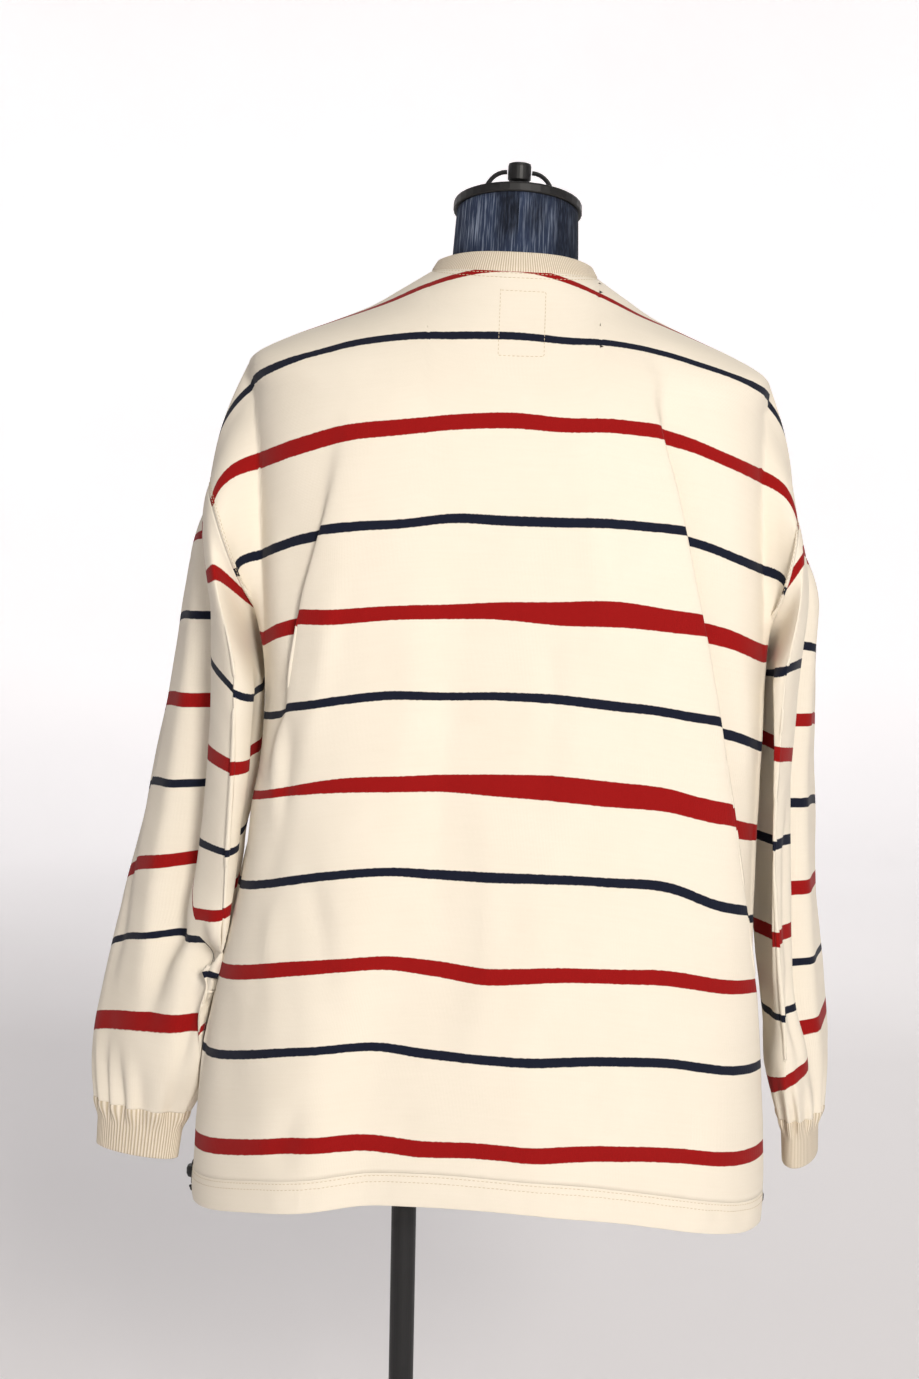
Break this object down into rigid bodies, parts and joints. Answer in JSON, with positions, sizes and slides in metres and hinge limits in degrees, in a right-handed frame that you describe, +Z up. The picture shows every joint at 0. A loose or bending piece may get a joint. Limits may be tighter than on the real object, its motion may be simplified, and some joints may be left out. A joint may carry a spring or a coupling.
{
  "type": "long-sleeve t-shirt on a limbless dress form with a stand",
  "caption": "Oversized drop-shoulder striped jersey top with long sleeves, rib cuffs and a drawcord hem, worn on a limbless dress form with a neck cap, pole and round base.",
  "frame": {"origin": "centre of the base plate's underside", "axes": "+Z up, -Y towards the garment's front, +X towards the wearer's left"},
  "size_m": [0.6705, 0.34, 1.5454],
  "materials": {
    "jersey": "matte cream cotton jersey with knitted red and navy stripes",
    "rib": "matte cream rib knit",
    "cord": "black braided cord",
    "lock": "black moulded plastic",
    "denim": "indigo denim cover, matte",
    "black_metal": "satin black paint"
  },
  "bodies": {
    "root": {"shirt_back": "jersey", "shirt_front": "jersey", "hem_casing_back": "jersey", "hem_casing_front": "jersey", "sleeve_left": "jersey", "sleeve_right": "jersey", "collar_rib": "rib", "cuff_left": "rib", "cuff_right": "rib", "drawcord_left": "cord", "drawcord_right": "cord", "cord_lock_left": "lock", "cord_lock_right": "lock", "cord_knot_left": "cord", "cord_knot_right": "cord", "form_body": "denim", "neck_cap": "black_metal", "cap_knob": "black_metal", "bail_arm_left": "black_metal", "bail_arm_right": "black_metal", "form_flange": "black_metal", "stand_pole": "black_metal", "base_plate": "black_metal"}
  },
  "joints": []
}
